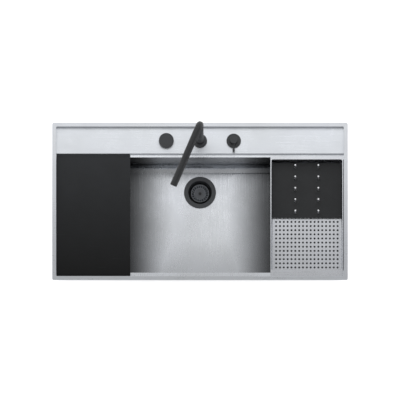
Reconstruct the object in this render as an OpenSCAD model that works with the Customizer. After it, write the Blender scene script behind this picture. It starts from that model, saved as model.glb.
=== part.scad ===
// Workstation kitchen sink with a tap deck inside its rim, one wide bowl,
// a chopping board, a drainer tray with a peg panel, and a three-hole tap.
// Millimetres. +X to the right, +Y to the tap side, +Z up.
// The origin is the middle of the worktop seat under the rim.

/* [Rim] */
// Overall width over the rim
sink_w = 1000; // [960:10:1100]
// Overall depth over the rim, front to rear
sink_d = 540; // [525:5:600]
// Width of the flat rim face on each side
rim_face = 13.5; // [12:0.5:18]
// Height of the rim top above the worktop
rim_rise = 3; // [2.5:0.5:5]
// Plan radius of the outer rim corners
rim_r = 5; // [3:1:10]
// Plan radius of the upright inner corners
upstand_r = 4; // [2:1:6]
// Thickness of the basin's sheet steel
sheet_t = 1.2; // [1:0.1:1.5]

/* [Deck and ledges] */
// Drop from the rim top to the tap deck
deck_drop = 22; // [18:1:30]
// Depth of the tap deck, front to rear
deck_d = 90; // [80:1:100]
// Width of the ledge in front of the tap deck
rear_ledge_w = 9.3; // [8:0.1:14]
// Width of the ledge along the front wall
front_ledge_w = 17.6; // [15:0.1:24]
// Bend radius on the edges of the tap deck
deck_bend_r = 2; // [1.5:0.5:4]

/* [Bowl] */
// Depth of the bowl's walls under the ledges
bowl_depth = 170; // [140:5:200]
// Bend radius between the bowl's floor and walls
floor_bend_r = 25; // [12:1:35]
// Plan radius of the bowl's upright corners
bowl_corner_r = 12; // [8:1:20]
// Fall of the floor from its edges to the drain
floor_fall = 6; // [4:0.5:12]
// Place of the drain behind the middle of the sink
drain_y = 66; // [0:1:80]
// Side of the flat square around the drain
drain_land = 118; // [114:1:130]
// Diameter of the hole for the waste
drain_hole_d = 90; // [86:1:92]

/* [Clips, seal and pads] */
// Thickness of the worktop that the clips hold
worktop_t = 30; // [24:1:40]
// Width of a clip's tongue
clip_w = 16; // [12:1:20]
// Thickness of a clip's tongue
clip_t = 2; // [1.5:0.5:3]
// Diameter of the clip screws
clip_screw_d = 5; // [4:1:6]
// Distance of the inner clips from the middle
clip_inner_x = 150; // [120:10:200]
// Distance of the outer clips from the side walls
clip_outer_in = 86.5; // [60:0.5:160]
// Width of the sealing tape under the rim
seal_w = 7; // [5:0.5:9]
// Thickness of the sound pads
pad_t = 3; // [2:0.5:5]
// Width of a sound pad
pad_w = 150; // [100:5:180]
// Depth of a sound pad, front to rear
pad_d = 90; // [60:5:100]

/* [Overflow] */
// Distance of the overflow's middle from the left wall
overflow_in = 126.5; // [60:0.5:200]
// Depth of the overflow slot under the ledge
overflow_drop = 26; // [22:1:40]
// Width of the overflow slot
overflow_w = 50; // [40:1:60]
// Height of the overflow slot
overflow_h = 10; // [8:1:14]
// Outer diameter of the overflow's pipe stub
overflow_pipe_d = 22; // [18:1:26]

/* [Waste] */
// Outer diameter of the waste flange
flange_d = 108; // [104:1:112]
// Thickness of the waste flange
flange_t = 2.2; // [1.5:0.1:3]
// Inner diameter of the flange's mouth
mouth_d = 78; // [74:1:80]
// Inner diameter of the cup where the basket seats
seat_d = 66; // [62:1:68]
// Depth of the basket seat under the sink floor
seat_drop = 33; // [30:1:38]
// Depth of the cup under the basket seat
sump_depth = 12; // [10:1:18]
// Wall of the waste cup
cup_wall = 1.5; // [1.2:0.1:2]
// Thickness of each waste gasket
gasket_t = 1.5; // [1:0.1:3]
// Outer diameter of the outlet's threaded spigot
outlet_d = 47.8; // [40:0.1:50]
// Bore of the outlet
outlet_bore = 38; // [32:1:40]
// Length of the outlet's spigot
outlet_len = 24; // [18:1:35]
// Lift of the basket between closed and open
basket_lift = 8; // [6:1:10]

/* [Strainer basket] */
// Outer diameter of the basket's top ring
basket_d = 61; // [58:0.5:61]
// Depth of the basket's top ring under the sink floor
basket_drop = 15; // [13:1:18]
// Number of drain slots around the basket
slot_count = 28; // [20:1:32]
// Width of a drain slot
slot_w = 2.2; // [1.6:0.1:3]
// Diameter of the plain disc in the basket's middle
basket_disc_d = 38; // [32:1:42]
// Dish of the basket from its ring to its disc
basket_dish = 8; // [5:1:10]
// Diameter of the grip knob
grip_d = 9; // [8:0.5:14]
// Diameter of the lift pin
lift_pin_d = 4; // [3:0.5:5]

/* [Taps] */
// Distance between neighbouring tap holes
tap_pitch = 114; // [90:1:130]
// Distance of the tap holes from the rear wall
tap_back = 46; // [38:1:50]
// Diameter of the tap holes
tap_hole_d = 35; // [34:0.5:36]
// Diameter of the threaded shanks
shank_d = 32; // [30:1:33]
// Length of the threaded shanks under the deck
shank_len = 42; // [36:1:55]
// Thickness of each rubber gasket on the deck
tap_gasket_t = 1; // [0.8:0.1:2]
// Thickness of each clamping washer
washer_t = 2.5; // [2:0.5:4]
// Height of each shank nut
nut_h = 9; // [7:0.5:12]

/* [Waste knob] */
// Diameter of the turning knob
knob_d = 50; // [44:1:56]
// Height of the turning knob
knob_h = 18; // [15:1:30]
// Turn of the knob that lifts the basket
knob_turn = 90; // [60:5:120]

/* [Spout] */
// Diameter of the spout's rosette
spout_base_d = 47.5; // [44:0.5:56]
// Height of the spout's rosette
spout_base_h = 8; // [6:0.5:16]
// Outer diameter of the spout pipe
pipe_d = 24; // [20:1:26]
// Wall of the spout pipe
pipe_wall = 1.5; // [1:0.1:2]
// Height of the arm's middle above the deck
spout_h = 350; // [280:5:400]
// Reach from the riser's middle to the arm's end
spout_reach = 230; // [180:5:260]
// Bend radius at the top of the riser
spout_bend_r = 22; // [20:1:40]
// Turn of the arm to the left of straight ahead
spout_turn = 23; // [0:1:60]
// Diameter of the aerator
aerator_d = 18; // [16:0.5:19]
// Distance from the arm's end to the aerator
aerator_back = 16; // [13:1:24]
// Length of the journal inside the rosette
journal_len = 26; // [20:1:32]

/* [Mixer] */
// Diameter of the mixer's rosette
mixer_base_d = 48.5; // [44:0.5:56]
// Height of the mixer's rosette
mixer_base_h = 9; // [7:0.5:14]
// Diameter of the turning hub
hub_d = 26; // [24:0.5:30]
// Height of the hub's top above the deck
hub_top = 31; // [29:1:40]
// Diameter of the pin lever
lever_d = 7; // [6:0.5:8]
// Reach of the lever from the hub's middle
lever_reach = 40; // [32:1:60]
// Height of the lever's pivot above the deck
lever_z = 19; // [18:0.5:20]
// Upward tilt of the lever when it is fully open
lever_tilt = 15; // [10:1:18]
// Diameter of the valve cartridge
cartridge_d = 25; // [22:1:26]

/* [Chopping board] */
// Width of the board
board_w = 249.5; // [200:0.5:300]
// Thickness of the board and depth of its recess
board_t = 14; // [12:1:20]
// Clearance between the board or tray and the walls
fit_gap = 1; // [0.5:0.1:2]
// Plan radius of the board's corners
board_r = 5; // [4:1:12]
// Distance of the board's cross grooves from its ends
groove_back = 6; // [4:0.5:12]
// Width of each cross groove
groove_w = 2.5; // [1:0.1:4]

/* [Drainer tray] */
// Outer width of the tray over its side lips
tray_w = 246; // [200:1:300]
// Depth of the tray under its flanges
tray_depth = 58; // [40:1:90]
// Thickness of the tray's sheet
tray_t = 1; // [0.8:0.1:1.5]
// Width of the tray's front and rear flanges
tray_flange_w = 15.5; // [14:0.5:20]
// Extra width of the flange that hides the wide front ledge
front_flange_extra = 8.7; // [6:0.1:12]
// Width of the tray's side lips
tray_lip_w = 2; // [1:0.5:4]
// Bend radius around the tray's floor
tray_bend_r = 6; // [4:0.5:9]
// Clearance between the tray and the right-hand wall
tray_side_gap = 2; // [1:0.5:10]
// Diameter of the drain holes
hole_d = 5.5; // [4:0.1:7]
// Distance between drain holes from left to right
hole_pitch_x = 13; // [11:0.1:20]
// Distance between drain holes from front to rear
hole_pitch_y = 14.2; // [11:0.1:20]
// Least distance from a hole's middle to a tray wall
hole_margin = 14; // [12:0.5:24]

/* [Peg panel] */
// Clearance between the panel and the tray's side walls
panel_gap = 1.5; // [1:0.1:3]
// Depth of the panel, front to rear
panel_d = 188; // [160:1:240]
// Thickness of the panel
panel_t = 8; // [6:0.5:12]
// Height of the panel's feet
foot_h = 6.5; // [6:0.5:12]
// Distance of the panel from the tray's rear wall
panel_back = 4; // [2:0.5:12]
// Number of pegs from front to rear in each row
peg_count = 5; // [3:1:6]
// Distance between the two rows of pegs
peg_row_gap = 78; // [50:1:120]
// Distance between pegs in a row
peg_pitch = 39; // [25:1:45]
// Diameter of the pegs
peg_d = 6; // [5:0.5:10]
// Height of the pegs above the panel
peg_h = 48; // [30:1:70]

/* [Hidden] */
$fn = 64;
// Small overlap that keeps cuts clean
e = 0.1;
// Radial clearance between a turning journal and its bore
run_fit = 0.05;
// Gap between neighbouring pieces that only pass each other
air = 0.3;
// Radial clearance of a screw in its hole
screw_gap = 0.25;

// Main levels, from the rim down to the drain
rim_top = rim_rise;
deck_top = rim_top - deck_drop;
ledge_top = deck_top - board_t;
floor_top = ledge_top - bowl_depth;
land_top = floor_top - floor_fall;
land_under = land_top - sheet_t;
deck_under = deck_top - sheet_t;
ledge_under = ledge_top - sheet_t;

// Inner outline of the rim, and the bowl's opening
in_w = sink_w - 2 * rim_face;
in_d = sink_d - 2 * rim_face;
rear_wall_y = in_d / 2;
front_wall_y = -in_d / 2;
deck_front_y = rear_wall_y - deck_d;
bowl_rear_y = deck_front_y - rear_ledge_w;
bowl_front_y = front_wall_y + front_ledge_w;
bowl_d = bowl_rear_y - bowl_front_y;
bowl_mid_y = (bowl_rear_y + bowl_front_y) / 2;

// Sound pads
pad_clear_x = 40;
pad_clear_y = 60;
pad_space = 10;

// Clips
clip_block_w = 12;
clip_block_h = 11;
clip_block_in = 1;
clip_reach = 18;
clip_head_h = 3;
clip_bite = 3;
clip_block_low = min(ledge_under - clip_block_h, -worktop_t - 2);
clip_tip_h = clip_t - worktop_t - clip_block_low;
clip_loose = max(2, 1.5 - ledge_under - worktop_t);
clip_low = clip_block_low - clip_loose - clip_t;
clip_screw_len = clip_t + clip_loose + clip_bite;
clip_outer_x = in_w / 2 - clip_outer_in;
clip_xs = [-clip_outer_x, -clip_inner_x, clip_inner_x, clip_outer_x];

// Overflow
overflow_screw_d = 4;
overflow_screw_len = 14;
overflow_screw_head_d = 7;
overflow_screw_head_h = 2;
overflow_side = 13;
overflow_edge = 6;
overflow_r = 5;
overflow_back = 30;
overflow_wall = 2;
overflow_stub = 34;
grille_t = 1.5;
grille_bars = 6;

// Waste levels, counted from the land around the drain
flange_low = land_top + gasket_t;
flange_top = flange_low + flange_t;
seat_z = land_top - seat_drop;
sump_z = seat_z - sump_depth;
cup_floor_t = 2;
cup_low = sump_z - cup_floor_t;
sump_d = seat_d - 4;
body_gap = 1;
body_wall = 2.5;
body_in_d = mouth_d + 2 * cup_wall + 2 * body_gap;
body_out_d = body_in_d + 2 * body_wall;
body_flange_t = 4;
body_top = land_under - gasket_t;
body_low = cup_low - 16;
outlet_z = body_low - 12;
outlet_low = outlet_z - outlet_len;
centre_boss_d = 16;
cup_boss_h = 5;
cup_hole_count = 6;
web_t = 2.5;
rib_count = 6;
rib_out = 6;
rib_t = 2;
gland_z = body_top - 22;
gland_boss_d = 18;
gland_boss_x = body_out_d / 2 + 8;
gland_bore = 8;
tube_screw_d = 10;
tube_screw_head_d = 15;
tube_screw_head_h = 3;
gasket_out_d = flange_d - 4;

// Basket levels
ring_top = land_top - basket_drop;
ring_t = 1.5;
disc_top = ring_top - basket_dish;
skirt_low = seat_z + 0.4;
seal_h = 3;
grip_h = 5;
grip_neck_d = grip_d * 0.6;
grip_t = 3;
pin_boss_d = lift_pin_d + 6;

// Tap places and levels
tap_y = rear_wall_y - tap_back;
rosette_z = deck_top + tap_gasket_t;
shank_low = deck_under - shank_len;
shank_wall = 3;
rosette_edge = 1;
nut_z = deck_under - washer_t - nut_h;
nut_across = shank_d + 14;
hub_z = deck_top + mixer_base_h + air;
hub_skin = 2;
stem_d = 8;
stem_len = 11;
cartridge_sunk = 2;
barrel_r = lever_d / 2 + 0.5;
barrel_len = 11;
knob_z = deck_top + air + 0.5;
knob_base_h = 7;
spindle_d = 8;
journal_d = pipe_d - 4;
journal_top = deck_top + spout_base_h;
arm_z = deck_top + spout_h;
arm_len = spout_reach - spout_bend_r;
arm_cap_t = 2;
ring_z = journal_top - 8;
ring_pitch = 9;
ring_r = 1;
nipple_d = 16;
nipple_bore = 10;
nipple_len = 14;
drum_d = 40;
drum_h = 14;
drum_floor_t = 3;
drum_port_d = 10;
drum_port_len = 22;
drum_port_bore = 5;
spindle_grip = 6;

// Tray, board and panel places
board_left = -in_w / 2 + fit_gap;
board_front = front_wall_y + fit_gap;
board_rear = deck_front_y - fit_gap;
board_d = board_rear - board_front;
board_pad_d = 8;
board_pad_t = 1.5;
tray_mid_x = in_w / 2 - tray_side_gap - tray_w / 2;
tray_top = ledge_top + tray_t;
tray_in_w = tray_w - 2 * tray_lip_w - 2 * tray_t;
tray_in_front = board_front + tray_flange_w + front_flange_extra;
tray_in_rear = board_rear - tray_flange_w;
tray_in_d = tray_in_rear - tray_in_front;
tray_in_y = (tray_in_rear + tray_in_front) / 2;
tray_floor = tray_top - tray_depth;
hole_cols = floor((tray_in_w - 2 * hole_margin) / hole_pitch_x) + 1;
hole_rows = floor((tray_in_d - 2 * hole_margin) / hole_pitch_y) + 1;
panel_w = tray_in_w - 2 * panel_gap;
panel_y = tray_in_rear - panel_back - panel_d / 2;
panel_low = tray_floor + foot_h;
panel_top = panel_low + panel_t;
panel_r = tray_bend_r;
peg_screw_d = 3;
peg_screw_head_d = 5.5;
peg_screw_head_h = 2;
peg_screw_in_peg = 6;
foot_d = 16;
foot_inset = 20;

// ---------- shared shapes ----------

// Rectangle with round corners, centred
module round_rect(w, d, r) {
    square([w - 2 * r, d], center = true);
    square([w, d - 2 * r], center = true);
    for (x = [-1, 1], y = [-1, 1])
        translate([x * (w / 2 - r), y * (d / 2 - r)]) circle(r);
}

// U section, open at the top, with its floor at zero height
module u_section(w, h, r) {
    translate([-w / 2, r]) square([w, h - r]);
    translate([-w / 2 + r, 0]) square([w - 2 * r, h]);
    for (x = [-1, 1]) translate([x * (w / 2 - r), r]) circle(r);
}

// Box open to a bend radius along all four floor edges, floor at zero
module bent_box(w, d, h, bend, corner) {
    intersection() {
        rotate([90, 0, 0]) linear_extrude(d + 2, center = true) u_section(w, h, bend);
        rotate([90, 0, 90]) linear_extrude(w + 2, center = true) u_section(d, h, bend);
        linear_extrude(h) round_rect(w, d, corner);
    }
}

// Flat ring between two heights
module ring(outer, inner, low, high) {
    translate([0, 0, low]) difference() {
        cylinder(d = outer, h = high - low);
        translate([0, 0, -e]) cylinder(d = inner, h = high - low + 2 * e);
    }
}

// Disc with a rounded top edge
module soft_disc(d, h, edge) {
    rotate_extrude() union() {
        square([d / 2 - edge, h]);
        square([d / 2, h - edge]);
        translate([d / 2 - edge, h - edge]) intersection() {
            circle(edge);
            square(edge);
        }
    }
}

// Screw with its head at zero height and its shank upwards
module screw_up(d, length, head_d, head_h) {
    difference() {
        union() {
            translate([0, 0, -head_h]) cylinder(d = head_d, h = head_h);
            translate([0, 0, -e]) cylinder(d = d, h = length + e);
        }
        translate([0, 0, -head_h - e]) cylinder(d = head_d / 2, h = head_h / 2 + e, $fn = 6);
    }
}

module at_drain() {
    translate([0, drain_y, 0]) children();
}

module at_tap(side) {
    translate([side * tap_pitch, tap_y, 0]) children();
}

module at_taps() {
    for (side = [-1, 0, 1]) at_tap(side) children();
}

// Clip places: a front row under the ledge and a rear row under the deck
module at_front_clips() {
    for (x = clip_xs) translate([x, front_wall_y, 0]) rotate([0, 0, 180]) children();
}

module at_rear_clips() {
    for (x = clip_xs) translate([x, rear_wall_y, 0]) children();
}

// ---------- basin ----------

module rim_frame() {
    color([0.78, 0.8, 0.82]) difference() {
        union() {
            translate([0, 0, rim_top - sheet_t])
                linear_extrude(sheet_t) round_rect(sink_w, sink_d, rim_r);
            linear_extrude(rim_top) difference() {
                round_rect(sink_w, sink_d, rim_r);
                round_rect(sink_w - 2 * sheet_t, sink_d - 2 * sheet_t, rim_r - sheet_t);
            }
            translate([0, 0, ledge_under]) linear_extrude(rim_top - ledge_under)
                round_rect(in_w + 2 * sheet_t, in_d + 2 * sheet_t, upstand_r + sheet_t);
        }
        translate([0, 0, ledge_under - e]) linear_extrude(rim_top - ledge_under + 2 * e)
            round_rect(in_w, in_d, upstand_r);
    }
}

// Deck sheet seen from the side: flat deck, bend and front step
module deck_section() {
    difference() {
        union() {
            translate([deck_front_y + deck_bend_r, deck_under])
                square([deck_d - deck_bend_r, sheet_t]);
            translate([deck_front_y, ledge_top])
                square([sheet_t, deck_top - deck_bend_r - ledge_top]);
            translate([deck_front_y + deck_bend_r, deck_top - deck_bend_r])
                intersection() {
                    circle(deck_bend_r);
                    translate([-deck_bend_r, 0]) square(deck_bend_r);
                }
        }
        translate([deck_front_y + deck_bend_r, deck_top - deck_bend_r])
            circle(deck_bend_r - sheet_t);
    }
}

module tap_deck() {
    color([0.84, 0.86, 0.88]) difference() {
        intersection() {
            rotate([90, 0, 90]) linear_extrude(in_w, center = true) deck_section();
            translate([0, 0, ledge_top]) linear_extrude(deck_drop + board_t)
                round_rect(in_w, in_d, upstand_r);
        }
        at_taps() translate([0, 0, deck_under - e])
            cylinder(d = tap_hole_d, h = sheet_t + 2 * e);
    }
}

// Shallow pyramid that falls from the floor's edges to the drain's land
module floor_fall_cut(low) {
    flat_w = in_w - 2 * floor_bend_r;
    flat_d = bowl_d - 2 * floor_bend_r;
    hull() {
        translate([-flat_w / 2, bowl_mid_y - flat_d / 2, floor_top - low])
            cube([flat_w, flat_d, e]);
        translate([-drain_land / 2, drain_y - drain_land / 2, land_top - low])
            cube([drain_land, drain_land, e]);
    }
}

module bowl_hollow() {
    translate([0, bowl_mid_y, floor_top])
        bent_box(in_w, bowl_d, bowl_depth + e, floor_bend_r, bowl_corner_r);
    floor_fall_cut(0);
}

module bowl_outer() {
    translate([0, bowl_mid_y, floor_top - sheet_t])
        bent_box(in_w + 2 * sheet_t, bowl_d + 2 * sheet_t, bowl_depth,
                 floor_bend_r + sheet_t, bowl_corner_r + sheet_t);
    floor_fall_cut(sheet_t);
}

module bowl() {
    color([0.72, 0.74, 0.76]) difference() {
        union() {
            bowl_outer();
            translate([0, bowl_mid_y, ledge_under - 1]) linear_extrude(1 + sheet_t / 2)
                round_rect(in_w, bowl_d + 2 * sheet_t, bowl_corner_r + sheet_t);
            translate([0, 0, ledge_under]) linear_extrude(sheet_t) intersection() {
                round_rect(in_w, in_d, upstand_r);
                translate([-in_w / 2, front_wall_y])
                    square([in_w, deck_front_y + sheet_t - front_wall_y]);
            }
        }
        bowl_hollow();
        at_drain() translate([0, 0, land_under - e])
            cylinder(d = drain_hole_d, h = sheet_t + 2 * e);
        at_overflow() rotate([90, 0, 0]) linear_extrude(4 * sheet_t, center = true) {
            overflow_slot();
            overflow_screw_places() circle(d = overflow_screw_d + 2 * screw_gap);
        }
    }
}

module rim_seal() {
    seal_out = rim_face - sheet_t - 0.5;
    color([0.1, 0.1, 0.1]) linear_extrude(rim_top - sheet_t) difference() {
        round_rect(in_w + 2 * seal_out, in_d + 2 * seal_out, rim_r - sheet_t);
        round_rect(in_w + 2 * (seal_out - seal_w), in_d + 2 * (seal_out - seal_w),
                   upstand_r + sheet_t);
    }
}

// Welded block, seen from the wall outwards, from the sheet above it
module clip_block(top) {
    difference() {
        translate([-clip_w / 2, -clip_block_in - clip_block_w, clip_block_low])
            cube([clip_w, clip_block_w, top - clip_block_low]);
        translate([0, -clip_block_in - clip_block_w / 2, clip_block_low - e])
            cylinder(d = clip_screw_d, h = clip_bite + clip_loose + e);
    }
}

module clip_blocks() {
    color([0.6, 0.62, 0.64]) {
        at_front_clips() clip_block(ledge_under);
        at_rear_clips() clip_block(deck_under);
    }
}

// Loosened clip, swung along the wall so that the sink drops into its cut-out
module clip() {
    back = clip_block_w / 2;
    translate([0, -clip_block_in - back, clip_low]) difference() {
        translate([-back, -clip_w / 2, 0]) {
            cube([back + clip_reach, clip_w, clip_t]);
            translate([back + clip_reach - clip_t, 0, 0]) cube([clip_t, clip_w, clip_tip_h]);
        }
        translate([0, 0, -e]) cylinder(d = clip_screw_d + 2 * screw_gap, h = clip_t + 2 * e);
    }
}

module clips() {
    color([0.6, 0.62, 0.64]) {
        at_front_clips() clip();
        at_rear_clips() clip();
    }
}

module clip_screw() {
    translate([0, -clip_block_in - clip_block_w / 2, clip_low])
        screw_up(clip_screw_d, clip_screw_len, clip_screw_d * 1.8, clip_head_h);
}

module clip_screws() {
    color([0.5, 0.52, 0.54]) {
        at_front_clips() clip_screw();
        at_rear_clips() clip_screw();
    }
}

// Damping mats glued under the sloping floor, cut to its slope
module sound_pads() {
    first_x = drain_land / 2 + pad_clear_x + pad_w / 2;
    front_y = drain_y - drain_land / 2 - pad_clear_y - pad_d;
    block = [pad_w, pad_d, floor_fall + 2 * pad_t];
    color([0.14, 0.14, 0.15]) difference() {
        intersection() {
            floor_fall_cut(sheet_t + pad_t);
            translate([-pad_w / 2, 0, land_under - 2 * pad_t]) {
                for (x = [-1, 1], step = [0, 1])
                    translate([x * (first_x + step * (pad_w + pad_space)), drain_y - pad_d / 2])
                        cube(block);
                for (x = [-1, 0, 1])
                    translate([x * (pad_w + pad_space), front_y]) cube(block);
            }
        }
        floor_fall_cut(sheet_t);
    }
}

// ---------- overflow ----------

module at_overflow() {
    translate([overflow_in - in_w / 2, bowl_rear_y, ledge_top - overflow_drop]) children();
}

// Outline of the overflow's cover, gasket and housing
module overflow_outline() {
    round_rect(overflow_w + 2 * overflow_side, overflow_h + 2 * overflow_edge, overflow_r);
}

module overflow_slot() {
    round_rect(overflow_w, overflow_h, overflow_h / 2 - e);
}

module overflow_screw_places() {
    for (x = [-1, 1]) translate([x * (overflow_w + overflow_side) / 2, 0]) children();
}

module overflow_grille() {
    bar_gap = overflow_w / grille_bars;
    color([0.22, 0.23, 0.24]) at_overflow() rotate([90, 0, 0]) linear_extrude(grille_t)
        difference() {
            overflow_outline();
            for (i = [0 : grille_bars - 1])
                translate([(i + 0.5) * bar_gap - overflow_w / 2, 0])
                    square([bar_gap * 0.6, overflow_h], center = true);
            overflow_screw_places() circle(d = overflow_screw_d + 2 * screw_gap);
        }
}

module overflow_gasket() {
    color([0.1, 0.1, 0.1]) at_overflow() translate([0, sheet_t + gasket_t, 0])
        rotate([90, 0, 0]) linear_extrude(gasket_t) difference() {
            overflow_outline();
            overflow_slot();
            overflow_screw_places() circle(d = overflow_screw_d + 2 * screw_gap);
        }
}

module overflow_housing() {
    start = sheet_t + gasket_t;
    back_y = start + overflow_back;
    stub_y = start + overflow_back / 2;
    color([0.16, 0.16, 0.17]) at_overflow() difference() {
        union() {
            translate([0, back_y, 0]) rotate([90, 0, 0]) linear_extrude(overflow_back)
                overflow_outline();
            translate([0, stub_y, -overflow_stub])
                cylinder(d = overflow_pipe_d, h = overflow_stub);
        }
        translate([0, back_y - overflow_wall, 0]) rotate([90, 0, 0])
            linear_extrude(overflow_back - overflow_wall + e) overflow_slot();
        translate([0, stub_y, -overflow_stub - e])
            cylinder(d = overflow_pipe_d - 2 * overflow_wall, h = overflow_stub + e);
        rotate([-90, 0, 0]) overflow_screw_places()
            cylinder(d = overflow_screw_d, h = overflow_screw_len);
    }
}

module overflow_screws() {
    color([0.4, 0.42, 0.44]) at_overflow() overflow_screw_places()
        translate([0, -grille_t, 0]) rotate([-90, 0, 0])
            screw_up(overflow_screw_d, overflow_screw_len,
                     overflow_screw_head_d, overflow_screw_head_h);
}

// ---------- waste ----------

// Funnel from the mouth to the seat, then a straight sump with a floor
module cup_profile(out) {
    polygon([
        [0, cup_low + cup_floor_t - out * cup_floor_t],
        [sump_d / 2 + out * cup_wall, cup_low + cup_floor_t - out * cup_floor_t],
        [sump_d / 2 + out * cup_wall, seat_z - out * cup_wall],
        [seat_d / 2 + out * cup_wall, seat_z - out * cup_wall],
        [mouth_d / 2 + out * cup_wall, flange_low],
        [mouth_d / 2 + (1 - out) * 1, flange_top + (1 - out) * e],
        [0, flange_top + (1 - out) * e]
    ]);
}

module waste_flange() {
    color([0.3, 0.31, 0.32]) at_drain() difference() {
        union() {
            rotate_extrude() cup_profile(1);
            translate([0, 0, flange_low]) soft_disc(flange_d, flange_t, 1);
        }
        difference() {
            rotate_extrude() cup_profile(0);
            translate([0, 0, sump_z - e]) cylinder(d = centre_boss_d, h = cup_boss_h + e);
        }
        for (i = [0 : cup_hole_count - 1]) rotate([0, 0, i * 360 / cup_hole_count])
            translate([sump_d / 3, 0, cup_low - e])
                cylinder(d = sump_d / 4, h = cup_floor_t + 2 * e);
        translate([0, 0, cup_low - e])
            cylinder(d = tube_screw_d + 2 * screw_gap, h = cup_boss_h + cup_floor_t + 2 * e);
    }
}

module upper_gasket() {
    color([0.08, 0.08, 0.08]) at_drain()
        ring(gasket_out_d, drain_hole_d, land_top, flange_low);
}

module lower_gasket() {
    color([0.08, 0.08, 0.08]) at_drain()
        ring(gasket_out_d, drain_hole_d, body_top, land_under);
}

// Moulded cup under the floor that funnels into the threaded outlet
module waste_body() {
    color([0.13, 0.13, 0.14]) at_drain() difference() {
        union() {
            translate([0, 0, body_top - body_flange_t])
                cylinder(d = gasket_out_d, h = body_flange_t);
            translate([0, 0, body_low - e])
                cylinder(d = body_out_d, h = body_top - body_low + e);
            translate([0, 0, outlet_z])
                cylinder(d1 = outlet_d + 2, d2 = body_out_d, h = body_low - outlet_z);
            translate([0, 0, outlet_low]) cylinder(d = outlet_d, h = outlet_len + 1);
            for (i = [0 : rib_count - 1]) rotate([0, 0, i * 360 / rib_count])
                translate([body_out_d / 2 - 1, -rib_t / 2, body_low])
                    cube([rib_out + 1, rib_t, body_top - body_low - 1]);
            translate([0, 0, gland_z]) rotate([90, 0, 90])
                cylinder(d = gland_boss_d, h = gland_boss_x);
        }
        difference() {
            union() {
                translate([0, 0, body_low]) cylinder(d = body_in_d, h = body_top - body_low + e);
                translate([0, 0, outlet_z - e])
                    cylinder(d1 = outlet_bore, d2 = body_in_d, h = body_low - outlet_z + 2 * e);
                translate([0, 0, outlet_low - e]) cylinder(d = outlet_bore, h = outlet_len + e);
            }
            translate([0, 0, outlet_z]) cylinder(d = centre_boss_d, h = cup_low - outlet_z);
            for (a = [0, 60, 120]) rotate([0, 0, a])
                translate([-body_in_d / 2 - 1, -web_t / 2, outlet_z + web_t])
                    cube([body_in_d + 2, web_t, cup_low - outlet_z - 2 * web_t]);
        }
        translate([0, 0, outlet_z - e]) cylinder(d = tube_screw_d, h = cup_low - outlet_z + 2 * e);
        translate([body_in_d / 2 - 4, 0, gland_z]) rotate([90, 0, 90])
            cylinder(d = gland_bore, h = gland_boss_x);
    }
}

module cable_gland() {
    nut_t = 7;
    length = 15;
    neck_d = 12;
    bore = 5;
    color([0.2, 0.2, 0.21]) at_drain() translate([gland_boss_x, 0, gland_z])
        rotate([90, 0, 90]) difference() {
            union() {
                cylinder(d = gland_boss_d - 1, h = nut_t, $fn = 6);
                cylinder(d = neck_d, h = length);
            }
            translate([0, 0, -e]) cylinder(d = bore, h = length + 2 * e);
        }
}

// Hollow screw that clamps the cup to the body and guides the lift pin
module centre_screw() {
    head_z = sump_z + cup_boss_h;
    length = head_z - outlet_z - 2;
    color([0.55, 0.56, 0.58]) at_drain() difference() {
        union() {
            translate([0, 0, head_z])
                cylinder(d = tube_screw_head_d, h = tube_screw_head_h, $fn = 6);
            translate([0, 0, head_z - length]) cylinder(d = tube_screw_d, h = length + e);
        }
        translate([0, 0, head_z - length - e])
            cylinder(d = lift_pin_d + 2 * run_fit, h = length + tube_screw_head_h + 2 * e);
    }
}

module lift_pin() {
    top = disc_top - 2 * ring_t;
    foot_t = 3;
    foot_out = 2;
    low = outlet_z - basket_lift - foot_t - 1;
    color([0.6, 0.61, 0.62]) at_drain() translate([0, 0, low]) {
        cylinder(d = lift_pin_d, h = top - low);
        cylinder(d = lift_pin_d + 2 * foot_out, h = foot_t);
    }
}

// Dished sheet with an upright skirt under its outer ring
module basket_profile() {
    edge_r = basket_d / 2;
    inner_r = edge_r - 2;
    disc_r = basket_disc_d / 2;
    polygon([
        [0, disc_top], [disc_r, disc_top], [inner_r, ring_top], [edge_r, ring_top],
        [edge_r, skirt_low], [edge_r - ring_t, skirt_low],
        [edge_r - ring_t, ring_top - 2 * ring_t], [disc_r, disc_top - ring_t],
        [0, disc_top - ring_t]
    ]);
}

module strainer_basket() {
    slot_start = basket_disc_d / 2 + 0.5;
    slot_len = basket_d / 2 - 2.5 - slot_start;
    color([0.36, 0.37, 0.38]) at_drain() difference() {
        union() {
            rotate_extrude() basket_profile();
            translate([0, 0, disc_top - 2 * ring_t]) cylinder(d = pin_boss_d, h = ring_t + e);
            translate([0, 0, disc_top - e]) cylinder(d = grip_neck_d, h = grip_h + e);
            translate([0, 0, disc_top + grip_h - grip_t + 1]) soft_disc(grip_d, grip_t, 1);
        }
        for (i = [0 : slot_count - 1]) rotate([0, 0, i * 360 / slot_count])
            translate([slot_start, -slot_w / 2, disc_top - 4 * ring_t])
                cube([slot_len, slot_w, basket_dish + 8 * ring_t]);
        for (i = [0 : 3]) rotate([0, 0, i * 90 + 45])
            translate([basket_d / 2 - 3, -5, skirt_low + seal_h + 2])
                cube([6, 10, 5]);
    }
}

module basket_seal() {
    color([0.06, 0.06, 0.06]) at_drain()
        ring(seat_d - 2 * air, basket_d, seat_z, seat_z + seal_h);
}

// ---------- taps ----------

module tap_gaskets() {
    color([0.08, 0.08, 0.08]) at_taps()
        ring(shank_d + 10, shank_d + 1, deck_top, rosette_z);
}

module tap_washers() {
    color([0.7, 0.71, 0.72]) at_taps()
        ring(shank_d + 16, shank_d + 1, deck_under - washer_t, deck_under);
}

module tap_nuts() {
    color([0.72, 0.6, 0.32]) at_taps() translate([0, 0, nut_z]) difference() {
        cylinder(d = nut_across, h = nut_h, $fn = 6);
        translate([0, 0, -e]) cylinder(d = shank_d, h = nut_h + 2 * e);
    }
}

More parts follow.
